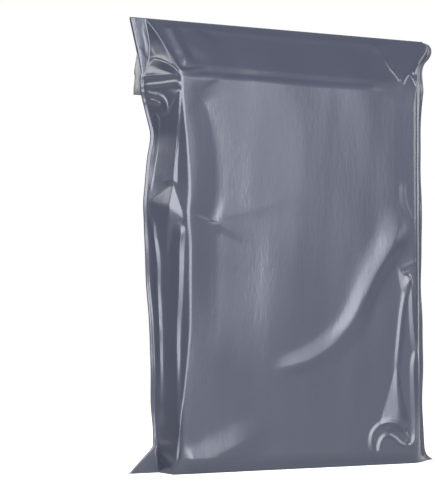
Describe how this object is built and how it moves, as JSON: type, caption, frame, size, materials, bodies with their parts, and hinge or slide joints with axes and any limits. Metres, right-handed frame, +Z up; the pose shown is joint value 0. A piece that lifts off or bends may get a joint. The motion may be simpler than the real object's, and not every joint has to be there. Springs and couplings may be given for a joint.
{
  "type": "poly mailer",
  "caption": "Sealed grey poly mailer drawn tight over a flat block-shaped fill, standing on its bottom end, with side welds, gathered corners and the flap glued over its back.",
  "frame": {"origin": "middle of the base, at the bottom centre of the part's box", "axes": "+Z up along the standing bag, -Y out of its plain front, +Y out of the back with the flap, +X to the right as seen from the front"},
  "size_m": [0.254, 0.0482, 0.325],
  "materials": {
    "grey_film": "semi-gloss polythene film, dark bluish grey"
  },
  "bodies": {
    "root": {"poly_mailer": "grey_film"}
  },
  "joints": []
}
